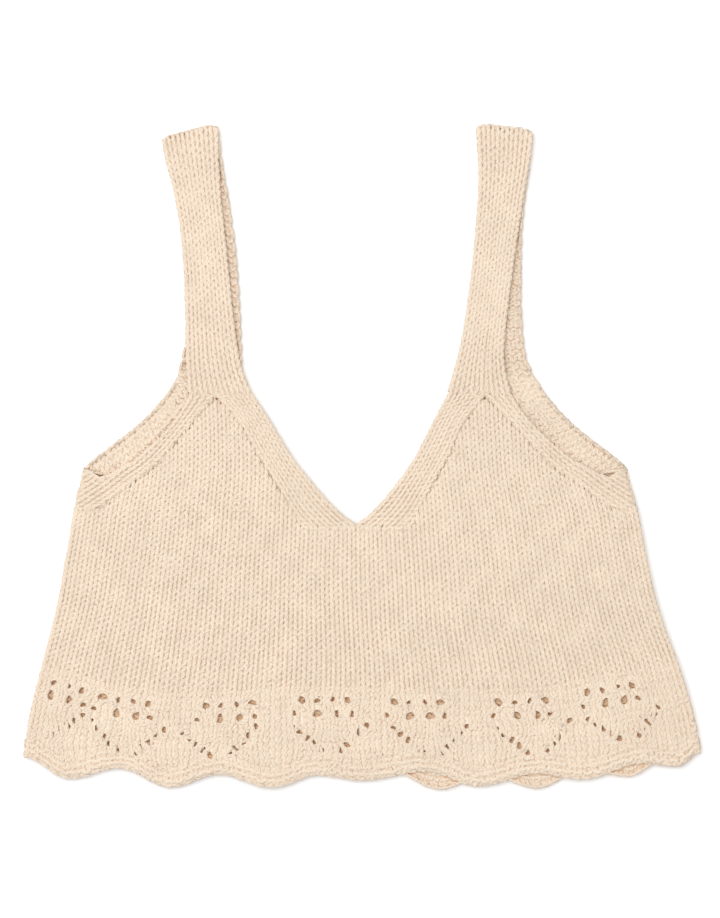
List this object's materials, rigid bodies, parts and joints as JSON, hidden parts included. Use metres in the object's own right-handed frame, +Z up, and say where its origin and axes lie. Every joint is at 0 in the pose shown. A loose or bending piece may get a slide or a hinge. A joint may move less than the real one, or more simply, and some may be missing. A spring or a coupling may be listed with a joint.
{
  "type": "knit cami top",
  "caption": "Cream chunky cotton knit cami top with wide straps, a V neck and a scalloped lace hem, laid flat with its front up.",
  "frame": {"origin": "on the surface it lies on, under the middle of its box", "axes": "+X to the right as seen from above with the straps away from the viewer, +Y from the hem to the straps, +Z up, out of the front"},
  "size_m": [0.452, 0.4443, 0.0067],
  "materials": {
    "body_knit": "matt cream cotton yarn in chunky stockinette",
    "lace_knit": "matt cream cotton yarn in eyelet lace with a garter edge",
    "band_knit": "matt cream cotton yarn in stockinette bands with rolled edges"
  },
  "bodies": {
    "root": {"front_body": "body_knit", "back_body": "body_knit", "front_lace_border": "lace_knit", "back_lace_border": "lace_knit", "front_neck_band_left": "band_knit", "front_neck_band_right": "band_knit", "front_armhole_band_left": "band_knit", "front_armhole_band_right": "band_knit", "back_neck_band_left": "band_knit", "back_neck_band_right": "band_knit", "back_armhole_band_left": "band_knit", "back_armhole_band_right": "band_knit", "strap_left": "band_knit", "strap_right": "band_knit"}
  },
  "joints": []
}
